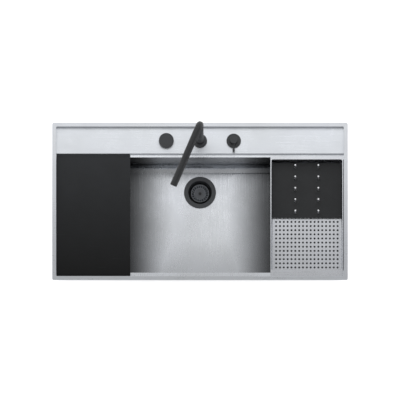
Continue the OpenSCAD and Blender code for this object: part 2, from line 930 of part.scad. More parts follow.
// Rosette on the deck with a threaded shank through it
module rosette(d, h) {
    translate([0, 0, rosette_z]) soft_disc(d, h - tap_gasket_t, rosette_edge);
    translate([0, 0, shank_low]) cylinder(d = shank_d, h = rosette_z - shank_low + e);
}

module knob_base() {
    inset = 4;
    color([0.2, 0.2, 0.21]) at_tap(-1) difference() {
        rosette(knob_d - 2 * inset, knob_base_h);
        translate([0, 0, shank_low - e])
            cylinder(d = spindle_d + 2 * run_fit, h = shank_len + sheet_t + knob_base_h + 2 * e);
    }
}

module waste_knob() {
    skin = 3;
    skirt_top = deck_top + knob_base_h + air;
    color([0.25, 0.26, 0.27]) at_tap(-1) difference() {
        translate([0, 0, knob_z]) soft_disc(knob_d, knob_h - knob_z + deck_top, 1.5);
        translate([0, 0, knob_z - e]) cylinder(d = knob_d - 2 * skin, h = skirt_top - knob_z + e);
        translate([0, 0, skirt_top - e]) cylinder(d = spindle_d, h = spindle_grip + e);
    }
}

module knob_spindle() {
    low = shank_low - drum_h + drum_floor_t + 1;
    top = deck_top + knob_base_h + air + spindle_grip;
    color([0.72, 0.6, 0.32]) at_tap(-1) translate([0, 0, low])
        cylinder(d = spindle_d, h = top - low);
}

// Housing that winds the control cable of the pop-up waste
module cable_drum() {
    color([0.13, 0.13, 0.14]) at_tap(-1) difference() {
        union() {
            translate([0, 0, shank_low - drum_h]) cylinder(d = drum_d, h = drum_h);
            translate([drum_d / 2 - 8, 0, shank_low - drum_h / 2]) rotate([0, 90, 0])
                cylinder(d = drum_port_d, h = drum_port_len);
        }
        translate([0, 0, shank_low - drum_h + drum_floor_t])
            cylinder(d = spindle_d + 2 * air + 1, h = drum_h);
        translate([drum_d / 2 - 4, 0, shank_low - drum_h / 2]) rotate([0, 90, 0])
            cylinder(d = drum_port_bore, h = drum_port_len);
    }
}

module spout_base() {
    color([0.2, 0.2, 0.21]) at_tap(0) difference() {
        union() {
            rosette(spout_base_d, spout_base_h);
            translate([0, 0, shank_low - nipple_len]) cylinder(d = nipple_d, h = nipple_len + e);
        }
        translate([0, 0, journal_top - journal_len - 1])
            cylinder(d = journal_d + 2 * run_fit, h = journal_len + 1 + e);
        translate([0, 0, shank_low - nipple_len - e])
            cylinder(d = nipple_bore, h = nipple_len + shank_len + sheet_t + spout_base_h);
    }
}

// Pipe with journal, riser, bend and arm, turned to its resting place
module pipe_form(d, low) {
    bend_z = arm_z - spout_bend_r;
    translate([0, 0, low]) cylinder(d = d, h = bend_z - low);
    translate([0, -spout_bend_r, bend_z]) rotate([0, 0, -90]) rotate([90, 0, 180])
        rotate_extrude(angle = 90) translate([spout_bend_r, 0]) circle(d = d);
    translate([0, -spout_bend_r, arm_z]) rotate([90, 0, 0]) cylinder(d = d, h = arm_len);
}

module spout() {
    bore = pipe_d - 2 * pipe_wall;
    collar_t = 3;
    journal_bore = journal_d - 2 * collar_t;
    color([0.24, 0.25, 0.26]) at_tap(0) rotate([0, 0, -spout_turn]) difference() {
        union() {
            pipe_form(pipe_d, journal_top + air);
            translate([0, 0, journal_top - journal_len])
                cylinder(d = journal_d, h = journal_len + 2 * air);
            translate([0, -spout_reach + aerator_back, arm_z - pipe_d / 2 - 3])
                cylinder(d = aerator_d + 3, h = pipe_d / 2);
        }
        difference() {
            pipe_form(bore, journal_top + air + collar_t);
            translate([0, -spout_reach + arm_cap_t, arm_z]) rotate([90, 0, 0])
                cylinder(d = pipe_d, h = arm_cap_t + e);
        }
        translate([0, 0, journal_top - journal_len - e])
            cylinder(d = journal_bore, h = journal_len + collar_t + 2);
        translate([0, -spout_reach + aerator_back, arm_z - pipe_d / 2 - 3 - e])
            cylinder(d = aerator_d, h = pipe_d / 2);
        for (z = [ring_z, ring_z - ring_pitch]) ring_groove(z);
    }
}

// Groove for a sealing ring around the journal
module ring_groove(z) {
    translate([0, 0, z]) rotate_extrude()
        translate([journal_d / 2 - 2 * ring_r, -ring_r]) square([3 * ring_r, 2 * ring_r]);
}

module spout_rings() {
    color([0.05, 0.05, 0.05]) at_tap(0) for (z = [ring_z, ring_z - ring_pitch])
        translate([0, 0, z]) rotate_extrude()
            translate([journal_d / 2 - ring_r, 0]) circle(ring_r - 0.02, $fn = 24);
}

module aerator() {
    length = 6;
    mesh_count = 3;
    color([0.5, 0.52, 0.54]) at_tap(0) rotate([0, 0, -spout_turn])
        translate([0, -spout_reach + aerator_back, arm_z - pipe_d / 2 - 4]) difference() {
            cylinder(d = aerator_d - 0.02, h = length);
            for (r = [1 : mesh_count], i = [0 : 6 * r - 1]) rotate([0, 0, i * 60 / r])
                translate([r * aerator_d / 8, 0, -e]) cylinder(d = 1.2, h = length + 2 * e);
            translate([0, 0, 2]) cylinder(d = aerator_d - 4, h = length);
        }
}

module mixer_base() {
    color([0.2, 0.2, 0.21]) at_tap(1) difference() {
        rosette(mixer_base_d, mixer_base_h);
        translate([0, 0, shank_low - e])
            cylinder(d = cartridge_d + 2 * run_fit, h = shank_len + sheet_t + mixer_base_h + 2 * e);
    }
}

module cartridge() {
    low = shank_low;
    top = deck_top + mixer_base_h - cartridge_sunk;
    color([0.85, 0.85, 0.82]) at_tap(1) difference() {
        translate([0, 0, low]) cylinder(d = cartridge_d, h = top - low);
        translate([0, 0, top - stem_len - 1])
            cylinder(d = stem_d + 2 * run_fit, h = stem_len + 1 + e);
    }
}

// Cartridge stem that carries the hub, with a cradle for the lever's barrel
module mixer_stem() {
    low = deck_top + mixer_base_h - cartridge_sunk - stem_len;
    flange_h = lever_z - lever_d / 2 - mixer_base_h - 2;
    color([0.7, 0.71, 0.72]) at_tap(1) difference() {
        translate([0, 0, low]) {
            cylinder(d = stem_d, h = hub_z - low + 1);
            translate([0, 0, hub_z - low])
                cylinder(d = hub_d - 2 * hub_skin - 0.04, h = flange_h);
            translate([-6, -5, hub_z - low]) cube([12, 10, deck_top + lever_z - hub_z]);
        }
        translate([-10, 0, deck_top + lever_z]) rotate([0, 90, 0])
            cylinder(r = barrel_r + run_fit, h = 20);
        translate([-lever_d / 2 - 0.6, -13, deck_top + lever_z - lever_d / 2 - 0.6])
            cube([lever_d + 1.2, 13, lever_d]);
    }
}

module mixer_hub() {
    slot_side = lever_d + 1;
    rise = hub_d / 2 * tan(lever_tilt);
    slot_low = deck_top + lever_z - lever_d / 2 - 0.5;
    slot_high = deck_top + lever_z + lever_d / 2 / cos(lever_tilt) + rise + 0.5;
    color([0.26, 0.27, 0.28]) at_tap(1) difference() {
        translate([0, 0, hub_z]) soft_disc(hub_d, deck_top + hub_top - hub_z, 1);
        translate([0, 0, hub_z - e])
            cylinder(d = hub_d - 2 * hub_skin, h = deck_top + hub_top - hub_z - hub_skin + e);
        translate([-slot_side / 2, -hub_d, slot_low])
            cube([slot_side, hub_d, slot_high - slot_low]);
    }
}

module lever() {
    color([0.3, 0.31, 0.32]) at_tap(1) translate([0, 0, deck_top + lever_z]) {
        translate([-barrel_len / 2, 0, 0]) rotate([0, 90, 0])
            cylinder(r = barrel_r, h = barrel_len);
        translate([0, -lever_reach, 0]) rotate([-90, 0, 0]) cylinder(d = lever_d, h = lever_reach);
    }
}

// Brass block under the cartridge with threaded tails: two inlets and, in front, the outlet
module inlet_block() {
    block_h = 26;
    block_d = shank_d + 12;
    tail_d = 16.6;
    tail_len = 14;
    tail_bore = 9;
    tail_out = 13.5;
    port_deep = 12;
    color([0.72, 0.6, 0.32]) at_tap(1) translate([0, 0, shank_low - block_h]) difference() {
        union() {
            cylinder(d = block_d, h = block_h);
            for (a = [30, 150, 270]) rotate([0, 0, a])
                translate([tail_out, 0, -tail_len]) cylinder(d = tail_d, h = tail_len + e);
        }
        for (a = [30, 150, 270]) rotate([0, 0, a])
            translate([tail_out, 0, -tail_len - e])
                cylinder(d = tail_bore, h = tail_len + port_deep + e);
    }
}

// ---------- board ----------

module chopping_board() {
    groove_deep = 1;
    color([0.17, 0.17, 0.175]) difference() {
        translate([board_left + board_w / 2, (board_front + board_rear) / 2, ledge_top])
            linear_extrude(board_t) round_rect(board_w, board_d, board_r);
        for (y = [board_front + groove_back, board_rear - groove_back - groove_w])
            translate([board_left - e, y, deck_top - groove_deep])
                cube([board_w + 2 * e, groove_w, groove_deep + e]);
        board_pad_places(board_pad_d, board_pad_t);
    }
}

// Four small anti-slip pads let into the board's underside
module board_pad_places(d, h) {
    inset = 7;
    for (x = [board_left + 20, board_left + board_w - 20],
         y = [board_front + inset, board_rear - inset + 2])
        translate([x, y, ledge_top]) cylinder(d = d, h = h);
}

module board_pads() {
    color([0.3, 0.3, 0.3]) board_pad_places(board_pad_d, board_pad_t);
}

// ---------- drainer tray ----------

module tray_space(grow, top) {
    translate([tray_mid_x, tray_in_y, tray_floor - grow])
        bent_box(tray_in_w + 2 * grow, tray_in_d + 2 * grow, top - tray_floor + grow,
                 tray_bend_r + grow, tray_bend_r + grow);
}

module hole_field() {
    translate([tray_mid_x - (hole_cols - 1) * hole_pitch_x / 2,
               tray_in_y - (hole_rows - 1) * hole_pitch_y / 2])
        for (i = [0 : hole_cols - 1], j = [0 : hole_rows - 1])
            translate([i * hole_pitch_x, j * hole_pitch_y]) circle(d = hole_d, $fn = 20);
}

module drainer_tray() {
    color([0.74, 0.76, 0.78]) difference() {
        union() {
            tray_space(tray_t, tray_top);
            translate([tray_mid_x, (board_front + board_rear) / 2, ledge_top])
                linear_extrude(tray_t) round_rect(tray_w, board_d, board_r);
        }
        tray_space(0, tray_top + e);
        translate([0, 0, tray_floor - tray_t - e]) linear_extrude(tray_t + 2 * e) hole_field();
    }
}

// ---------- peg panel ----------

module at_pegs() {
    for (x = [-1, 1], i = [0 : peg_count - 1])
        translate([tray_mid_x + x * peg_row_gap / 2,
                   panel_y + (i - (peg_count - 1) / 2) * peg_pitch, 0])
            children();
}

module peg_panel() {
    color([0.18, 0.18, 0.185]) difference() {
        translate([tray_mid_x, panel_y, panel_low])
            linear_extrude(panel_t) round_rect(panel_w, panel_d, panel_r);
        at_pegs() {
            translate([0, 0, panel_low - e])
                cylinder(d = peg_screw_d + 2 * screw_gap, h = panel_t + 2 * e);
            translate([0, 0, panel_low - e])
                cylinder(d = peg_screw_head_d + 2 * screw_gap, h = peg_screw_head_h + e);
        }
    }
}

module pegs() {
    color([0.8, 0.81, 0.82]) at_pegs() difference() {
        translate([0, 0, panel_top]) soft_disc(peg_d, peg_h, 0.8);
        translate([0, 0, panel_top - e]) cylinder(d = peg_screw_d, h = peg_screw_in_peg + e);
    }
}

module peg_screws() {
    color([0.5, 0.52, 0.54]) at_pegs() translate([0, 0, panel_low + peg_screw_head_h])
        screw_up(peg_screw_d, panel_t - peg_screw_head_h + peg_screw_in_peg,
                 peg_screw_head_d, peg_screw_head_h);
}

module panel_feet() {
    color([0.1, 0.1, 0.1])
        for (x = [-1, 1], y = [-1, 1])
            translate([tray_mid_x + x * (panel_w / 2 - foot_inset),
                       panel_y + y * (panel_d / 2 - foot_inset), tray_floor])
                cylinder(d = foot_d, h = foot_h);
}

rim_frame();
tap_deck();
bowl();
rim_seal();
clip_blocks();
clips();
clip_screws();
sound_pads();
overflow_grille();
overflow_gasket();
overflow_housing();
overflow_screws();
waste_flange();
upper_gasket();
lower_gasket();
waste_body();
centre_screw();
strainer_basket();
basket_seal();
lift_pin();
cable_gland();
tap_gaskets();
tap_washers();
tap_nuts();
waste_knob();
knob_base();
knob_spindle();
cable_drum();
spout_base();
spout();
spout_rings();
aerator();
mixer_base();
cartridge();
mixer_stem();
mixer_hub();
lever();
inlet_block();
chopping_board();
board_pads();
drainer_tray();
peg_panel();
pegs();
peg_screws();
panel_feet();
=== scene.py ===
import math

import bmesh
import bpy
from bpy.props import FloatProperty, FloatVectorProperty, IntProperty, PointerProperty
from mathutils import Matrix, Vector


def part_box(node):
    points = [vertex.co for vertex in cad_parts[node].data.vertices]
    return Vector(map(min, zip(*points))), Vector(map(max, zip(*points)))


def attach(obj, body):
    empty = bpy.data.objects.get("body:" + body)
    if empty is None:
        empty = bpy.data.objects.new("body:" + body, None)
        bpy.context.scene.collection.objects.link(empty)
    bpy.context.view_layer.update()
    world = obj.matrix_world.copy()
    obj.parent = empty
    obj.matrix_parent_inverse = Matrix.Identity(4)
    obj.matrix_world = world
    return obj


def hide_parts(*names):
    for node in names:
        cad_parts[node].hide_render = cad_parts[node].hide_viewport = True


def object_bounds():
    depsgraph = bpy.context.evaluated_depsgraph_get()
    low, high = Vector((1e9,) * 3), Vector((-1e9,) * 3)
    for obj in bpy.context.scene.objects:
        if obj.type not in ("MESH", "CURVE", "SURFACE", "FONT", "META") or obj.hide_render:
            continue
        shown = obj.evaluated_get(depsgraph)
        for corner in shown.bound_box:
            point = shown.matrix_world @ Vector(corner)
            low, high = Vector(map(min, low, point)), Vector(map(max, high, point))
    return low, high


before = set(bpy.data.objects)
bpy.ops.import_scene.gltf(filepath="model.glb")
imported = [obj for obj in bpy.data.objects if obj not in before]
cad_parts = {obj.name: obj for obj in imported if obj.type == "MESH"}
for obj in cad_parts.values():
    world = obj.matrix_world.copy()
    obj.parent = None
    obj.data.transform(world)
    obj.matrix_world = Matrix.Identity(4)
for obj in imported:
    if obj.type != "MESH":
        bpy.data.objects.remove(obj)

bl_info = {
    "name": "Workstation sink finish",
    "version": (1, 0, 0),
    "blender": (4, 5, 0),
    "location": "View3D > Sidebar > Sink",
    "description": "Gives a workstation kitchen sink its metals, coatings, edges and threads",
    "category": "Object",
}

CAD_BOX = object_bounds()
X_AXIS, Z_AXIS = Vector((1, 0, 0)), Vector((0, 0, 1))
WHITE = (1, 1, 1, 1)


# ---------- user values ----------

class SinkColours(bpy.types.PropertyGroup):
    """Colours of the sink's metals, coatings and plastics"""

    steel: FloatVectorProperty(
        name="Rim steel", description="Brushed stainless sheet of the rim frame",
        subtype="COLOR", size=3, min=0, max=1, default=(0.612, 0.632, 0.657))
    # painted light: the same brushed steel as the rim, written lighter to make up for the rim's
    # shade over the deck
    lightened_deck_steel: FloatVectorProperty(
        name="Deck steel", description="Brushed stainless sheet of the tap deck",
        subtype="COLOR", size=3, min=0, max=1, default=(0.67, 0.695, 0.725))
    # painted light: the rim's same brushed steel written lighter for the bowl, to make up for the
    # shade of the deck's step and the rear wall; the bowl's painted shade then darkens it again
    lightened_bowl_steel: FloatVectorProperty(
        name="Bowl steel", description="Brushed stainless sheet of the bowl and its ledges",
        subtype="COLOR", size=3, min=0, max=1, default=(0.765, 0.79, 0.82))
    tray_steel: FloatVectorProperty(
        name="Tray steel", description="Brushed stainless sheet of the drainer tray",
        subtype="COLOR", size=3, min=0, max=1, default=(0.655, 0.672, 0.70))
    machined: FloatVectorProperty(
        name="Machined steel", description="Plated steel of clips, screws and washers",
        subtype="COLOR", size=3, min=0, max=1, default=(0.50, 0.51, 0.52))
    coating: FloatVectorProperty(
        name="Gunmetal coating", description="Satin coating of the taps and the waste",
        subtype="COLOR", size=3, min=0, max=1, default=(0.040, 0.043, 0.047))
    board: FloatVectorProperty(
        name="Board laminate", description="Matt compact laminate of the chopping board",
        subtype="COLOR", size=3, min=0, max=1, default=(0.0125, 0.0135, 0.0150))
    panel: FloatVectorProperty(
        name="Panel laminate", description="Matt compact laminate of the peg panel",
        subtype="COLOR", size=3, min=0, max=1, default=(0.0310, 0.0325, 0.0345))
    rubber: FloatVectorProperty(
        name="Rubber", description="Gaskets, rings and feet",
        subtype="COLOR", size=3, min=0, max=1, default=(0.018, 0.018, 0.019))
    plastic: FloatVectorProperty(
        name="Moulded plastic", description="Waste body, overflow housing and cable drum",
        subtype="COLOR", size=3, min=0, max=1, default=(0.028, 0.029, 0.031))
    brass: FloatVectorProperty(
        name="Brass", description="Shank nuts and inlet block",
        subtype="COLOR", size=3, min=0, max=1, default=(0.66, 0.47, 0.20))


class SinkSizes(bpy.types.PropertyGroup):
    """Small sizes and counts of the edges, the threads, the basket and the spout"""

    rim_ease: FloatProperty(
        name="Rim edge", description="Roundness of the folded rim's edges",
        unit="LENGTH", default=0.0006, min=0.0002, max=0.0012)
    bowl_ease: FloatProperty(
        name="Bowl edge", description="Roundness of the bowl's cut and folded edges",
        unit="LENGTH", default=0.0004, min=0.0001, max=0.0005)
    laminate_ease: FloatProperty(
        name="Laminate edge", description="Chamfer along the board's and panel's edges",
        unit="LENGTH", default=0.0010, min=0.0003, max=0.002)
    shank_pitch: FloatProperty(
        name="Shank thread pitch", description="Pitch of the fine thread on the tap shanks",
        unit="LENGTH", default=0.0015, min=0.001, max=0.002)
    outlet_pitch: FloatProperty(
        name="Outlet thread pitch", description="Pitch of the coarse thread on the outlet",
        unit="LENGTH", default=0.0024, min=0.002, max=0.003)
    tail_pitch: FloatProperty(
        name="Tail thread pitch", description="Pitch of the pipe thread on the inlet tails",
        unit="LENGTH", default=0.00134, min=0.001, max=0.002)
    basket_slots: IntProperty(
        name="Basket slots", description="Slots around the strainer basket",
        default=20, min=12, max=32)
    pipe_steps: IntProperty(
        name="Pipe segments", description="Segments around the spout pipe",
        default=64, min=24, max=96)


class SinkStudio(bpy.types.PropertyGroup):
    """Camera, lamps and floor"""

    tilt: FloatProperty(
        name="Camera tilt", description="Tilt of the view from plumb towards the front",
        subtype="ANGLE", default=math.radians(9.7))
    width: FloatProperty(
        name="View width", description="Width that the camera takes in",
        unit="LENGTH", default=1.3532, min=1.0, max=2.0)
    aim_y: FloatProperty(
        name="Aim", description="Point on the rim's top that the camera looks at, front to rear",
        unit="LENGTH", default=0.0045)
    key_power: FloatProperty(
        name="Key lamp", description="Power of the wide lamp above the tap side",
        default=7.3, min=0)
    fill: FloatProperty(
        name="Fill", description="Strength of the light from all around",
        default=0.51, min=0, max=1)
    floor_colour: FloatVectorProperty(
        name="Floor", description="Plain pale floor",
        subtype="COLOR", size=3, min=0, max=1, default=(0.80, 0.80, 0.81))


# ---------- materials ----------

# the sockets of a Mix node that mixes colours
MIX_FACTOR, MIX_FIRST, MIX_SECOND, MIX_RESULT = 0, 6, 7, 2


class Recipe:
    """A material in the making, with its surface shader and the nodes that feed it"""

    def __init__(self, name, metallic=0.0, roughness=0.5, **sockets):
        self.material = bpy.data.materials.new(name)
        self.material.use_nodes = True
        self.tree = self.material.node_tree
        self.shader = self.tree.nodes["Principled BSDF"]
        self.shader.inputs["Metallic"].default_value = metallic
        self.shader.inputs["Roughness"].default_value = roughness
        for socket, value in sockets.items():
            self.shader.inputs[socket.replace("_", " ")].default_value = value
        self.place = self.tree.nodes.new("ShaderNodeTexCoord").outputs["Object"]

    def node(self, kind, inputs=(), **settings):
        """A new node whose inputs are linked to other nodes or set to plain values"""
        made = self.tree.nodes.new("ShaderNode" + kind)
        for setting, value in settings.items():
            setattr(made, setting, value)
        for socket, value in dict(inputs).items():
            if isinstance(value, bpy.types.NodeSocket):
                self.tree.links.new(value, made.inputs[socket])
            else:
                made.inputs[socket].default_value = value
        return made

    def scaled(self, scale):
        """The place, scaled along each axis"""
        return self.node("Mapping", {"Vector": self.place, "Scale": scale}).outputs["Vector"]

    def axes(self, vector):
        """A vector's numbers along X, Y and Z"""
        return self.node("SeparateXYZ", {"Vector": vector}).outputs

    def noise(self, scale, detail=4.0, roughness=0.55, place=None):
        """Soft noise, finer the larger the scale"""
        made = self.node("TexNoise", {
            "Vector": place or self.place, "Scale": scale, "Detail": detail,
            "Roughness": roughness})
        return made.outputs["Fac"]

    def remap(self, value, low, high, new_low, new_high, **settings):
        """A value laid from one range over another, and held at its ends"""
        made = self.node("MapRange", {
            "Value": value, "From Min": low, "From Max": high,
            "To Min": new_low, "To Max": new_high}, **settings)
        return made.outputs["Result"]

    def ranged(self, noise, new_low, new_high):
        """The middle values of a noise laid over a range"""
        return self.remap(noise, 0.3, 0.7, new_low, new_high)

    def ramp(self, value, low, high, new_low, new_high):
        """A remap with a soft start and end"""
        return self.remap(value, low, high, new_low, new_high, interpolation_type="SMOOTHSTEP")

    def blend(self, factor, first, second, kind="MIX"):
        """Two colours mixed by a factor"""
        inputs = {MIX_FACTOR: factor, MIX_FIRST: first, MIX_SECOND: second}
        made = self.node("Mix", inputs, data_type="RGBA", blend_type=kind)
        return made.outputs[MIX_RESULT]

    def maths(self, kind, first, second=0.0):
        """One step of arithmetic on numbers"""
        return self.node("Math", {0: first, 1: second}, operation=kind).outputs[0]

    def vector(self, kind, *inputs):
        """The outputs of one step of arithmetic on vectors"""
        return self.node("VectorMath", dict(enumerate(inputs)), operation=kind).outputs

    def feed(self, socket, value):
        """Links a value to the surface shader"""
        self.tree.links.new(value, self.shader.inputs[socket])

    def bump(self, height, strength, depth):
        """Gives the surface a fine relief"""
        made = self.node("Bump", {"Height": height, "Strength": strength, "Distance": depth})
        self.feed("Normal", made.outputs["Normal"])


def tone(colour, factor, blue=0.0):
    """A darker or lighter copy of a colour, a little cooler if asked"""
    r, g, b = colour
    return (min(r * factor, 1), min(g * factor, 1), min(b * factor * (1 + blue), 1), 1)


def brushed(name, colour, along, roughness=0.30, streaks=1.0, clouds=1.0, painted_shade=None):
    """Brushed sheet steel: fine streaks along one way, faint clouds and wiping marks, and painted
    shade where a mask of it is given
    """
    r = Recipe(name, metallic=1.0, roughness=roughness)
    lengthways, across = 5, 420
    stretch = {"x": (lengthways, across, across), "y": (across, lengthways, across)}[along]
    lines = r.noise(1.0, detail=5, roughness=0.7, place=r.scaled(stretch))
    broad = r.noise(1.0, detail=2, place=r.scaled([0.25 * s for s in stretch]))
    cloud = r.noise(5.5, detail=3, roughness=0.5)
    marks = r.noise(17.0, detail=5, roughness=0.62)
    base = r.blend(r.ranged(cloud, 0, 1), tone(colour, 1 - 0.05 * clouds),
                   tone(colour, 1 + 0.04 * clouds, 0.02))
    streaked = r.blend(r.ranged(lines, 0, 1), tone((1, 1, 1), 1 - 0.07 * streaks), WHITE)
    steel = r.blend(1.0, base, streaked, "MULTIPLY")
    # painted shade: where the mask says, the steel's colour is painted towards near-black
    if painted_shade:
        steel = r.blend(painted_shade(r), steel, tone(colour, 0.02))
    r.feed("Base Color", steel)
    rough = r.maths("ADD", r.ranged(lines, roughness - 0.05, roughness + 0.05),
                    r.remap(marks, 0.35, 0.75, -0.02, 0.05))
    r.feed("Roughness", rough)
    r.bump(r.maths("ADD", lines, broad), 0.06 * streaks, 0.0001)
    return r.material


def painted_bowl_shade(r):
    """How far the bowl is painted darker: painted shade on its floor and rear wall towards the
    covered sides, towards the front and over the rear bend, and on all its outside
    """
    ledge_z, slight, least_outward = -0.045, 0.05, 0.01
    wall_start, wall_full = -0.10, -0.90
    side_start, side_full, end_start, end_full = 0.050, 0.238, 0.245, 0.360
    front_start, front_full, bend_start, bend_full = -0.02, -0.23, 0.100, 0.140
    open_shade, wall_shade, side_shade, end_share = 0.10, 0.46, 0.89, 0.90
    front_shade, bend_shade, outside_shade = 0.34, 0.36, 0.42
    at = r.axes(r.place)
    normal = r.node("NewGeometry").outputs["Normal"]
    facing = r.axes(normal)
    outward = r.vector("DOT_PRODUCT", normal, r.place)["Value"]
    outside = r.maths("GREATER_THAN", outward, least_outward)
    rear = r.maths("GREATER_THAN", at["Y"], 0.0)
    upright = r.maths("MULTIPLY", rear, r.ramp(facing["Y"], wall_start, wall_full, 0.0, 1.0))
    inside = r.maths("MULTIPLY", r.maths("LESS_THAN", at["Z"], ledge_z),
                     r.maths("MAXIMUM", r.maths("GREATER_THAN", facing["Z"], slight),
                             r.maths("GREATER_THAN", upright, slight)))
    # painted shade of the board and the tray: the floor and rear wall are painted darker towards
    # the sides
    side = r.maths("ABSOLUTE", at["X"])
    towards = r.ramp(side, side_start, side_full, 0.0, side_shade)
    beyond = r.ramp(side, end_start, end_full, 1.0, end_share)
    # painted shade: the floor is painted darker towards the front
    front = r.ramp(at["Y"], front_start, front_full, 0.0, front_shade)
    # painted shade all over the open floor, deeper on the rear wall and over the rear bend
    least = r.remap(upright, 0, 1, open_shade, wall_shade)
    bend = r.ramp(at["Y"], bend_start, bend_full, open_shade, bend_shade)
    least = r.maths("MAXIMUM", least, bend)
    painted_shade = r.maths("MAXIMUM", least, r.maths("MAXIMUM", r.maths("MULTIPLY", towards, beyond),
                                               front))
    # painted shade also over all the outside faces
    return r.maths("MAXIMUM", r.maths("MULTIPLY", inside, painted_shade),
                   r.maths("MULTIPLY", outside, outside_shade))


def painted_hole_shade(r):
    """How far the tray is painted darker in a ring round each of its punched holes: painted shade
    that makes the holes look deeper
    """
    low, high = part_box("drainer_tray")
    wider_front, floor_top = 0.0087, low.z + 0.0015
    middle = ((low.x + high.x) / 2, (low.y + high.y + wider_front) / 2, 0)
    columns, rows, pitch = 17, 25, Vector((0.013, 0.0142, 1))
    hole_radius, shade_ring_radius, ring_shade = 0.0027, 0.0041, 0.95
    there = r.vector("SUBTRACT", r.place, middle)["Vector"]
    cell = r.vector("WRAP", there, 0.5 * pitch, -0.5 * pitch)["Vector"]
    flat = r.vector("MULTIPLY", cell, (1, 1, 0))["Vector"]
    away = r.vector("LENGTH", flat)["Value"]
    spread = r.axes(there)
    within = r.maths("MULTIPLY",
                     r.maths("LESS_THAN", r.maths("ABSOLUTE", spread["X"]), columns * pitch.x / 2),
                     r.maths("LESS_THAN", r.maths("ABSOLUTE", spread["Y"]), rows * pitch.y / 2))
    within = r.maths("MULTIPLY", within, r.maths("LESS_THAN", spread["Z"], floor_top))
    # painted shade: a dark ring round each punched hole, fading outwards
    return r.maths("MULTIPLY", within, r.ramp(away, hole_radius, shade_ring_radius, ring_shade, 0.0))


def polished(name, colour, roughness=0.44):
    """Satin polished steel with faint turning marks"""
    r = Recipe(name, metallic=1.0, roughness=roughness)
    lines = r.noise(1.0, detail=4, place=r.scaled((60, 60, 1800)))
    r.feed("Base Color", r.blend(lines, tone(colour, 0.94), tone(colour, 1.03)))
    r.feed("Roughness", r.ranged(lines, roughness - 0.03, roughness + 0.05))
    r.bump(lines, 0.05, 0.00005)
    return r.material


def machined(name, colour, roughness=0.34):
    """Plated steel with a fine grain and a few dull spots"""
    r = Recipe(name, metallic=1.0, roughness=roughness)
    grain = r.noise(900, detail=4)
    spots = r.noise(60, detail=4, roughness=0.6)
    r.feed("Base Color", r.blend(r.remap(spots, 0.35, 0.7, 0, 1), tone(colour, 1.04),
                                 tone(colour, 0.84)))
    r.feed("Roughness", r.ranged(spots, roughness - 0.05, roughness + 0.12))
    r.bump(grain, 0.10, 0.0001)
    return r.material


def coated(name, colour, roughness=0.42, grip=None):
    """Satin gunmetal coating with light dust specks; a strainer has painted shade, near-black, on
    its middle round the grip at the place given, and its ribs painted lighter
    """
    r = Recipe(name, metallic=0.25, roughness=roughness, Coat_Weight=0.12, Coat_Roughness=0.35)
    speckle = r.noise(2600, detail=2)
    cloud = r.noise(38, detail=3)
    base = r.blend(r.ranged(cloud, 0, 1), tone(colour, 0.90), tone(colour, 1.10, 0.03))
    dust_and_shade = r.blend(r.remap(speckle, 0.62, 0.8, 0, 1), base, tone(colour, 1.7))
    if grip:
        # the ribs between the slots are painted lighter; the middle round the grip is painted
        # near-black, a painted shade
        ribs_start, ribs_end, shade_edge = (0.0185, 0.0200), (0.0285, 0.0300), (0.0050, 0.0075)
        away = r.vector("DISTANCE", r.place, grip)["Value"]
        lighter_ribs = r.maths("MULTIPLY", r.ramp(away, *ribs_start, 0, 1), r.ramp(away, *ribs_end, 1, 0))
        dust_and_shade = r.blend(lighter_ribs, dust_and_shade, tone(colour, 2.8))
        dust_and_shade = r.blend(r.ramp(away, *shade_edge, 0.95, 0), dust_and_shade, tone(colour, 0.05))
    r.feed("Base Color", dust_and_shade)
    r.feed("Roughness", r.ranged(cloud, roughness - 0.04, roughness + 0.06))
    r.bump(speckle, 0.12, 0.00005)
    return r.material


def laminate(name, colour, knife_marks_and_shade):
    """Matt compact laminate, finely pearled; a board has thin knife cuts, and painted shade in
    front and painted light at the rear
    """
    r = Recipe(name, roughness=0.36, Specular_IOR_Level=0.22)
    pearl = r.noise(1500, detail=3)
    cloud = r.noise(14, detail=4)
    base = r.blend(r.ranged(cloud, 0, 1), tone(colour, 0.90), tone(colour, 1.12))
    height = pearl
    if knife_marks_and_shade:
        # painted shade and light: the board's colour goes from dark at the front to pale at the
        # rear
        front_y, rear_y = -0.25, 0.16
        dark, pale = (0.18, 0.18, 0.18, 1), (2.2, 2.2, 2.2, 1)
        from_front = r.axes(r.place)["Y"]
        shade = r.blend(r.remap(from_front, front_y, rear_y, 0, 1), dark, pale)
        base = r.blend(1.0, base, shade, "MULTIPLY")
        turned = r.node("Mapping", {"Vector": r.place, "Rotation": (0, 0, 0.35),
                                    "Scale": (14, 520, 40)}).outputs["Vector"]
        cuts = r.remap(r.noise(1.0, detail=1, place=turned), 0.70, 0.76, 0, 1)
        base = r.blend(r.maths("MULTIPLY", cuts, 0.35), base, tone(colour, 2.2))
        height = r.maths("SUBTRACT", pearl, cuts)
    r.feed("Base Color", base)
    r.feed("Roughness", r.ranged(cloud, 0.34, 0.40))
    r.bump(height, 0.16, 0.00006)
    return r.material


def rubbery(name, colour, roughness=0.72):
    """Soft rubber with a dusty bloom"""
    r = Recipe(name, roughness=roughness)
    bloom = r.noise(120, detail=4)
    grain = r.noise(1400, detail=2)
    r.feed("Base Color", r.blend(r.remap(bloom, 0.35, 0.7, 0, 1), tone(colour, 0.85),
                                 tone(colour, 1.5)))
    r.feed("Roughness", r.ranged(bloom, roughness - 0.06, roughness + 0.10))
    r.bump(grain, 0.25, 0.0001)
    return r.material


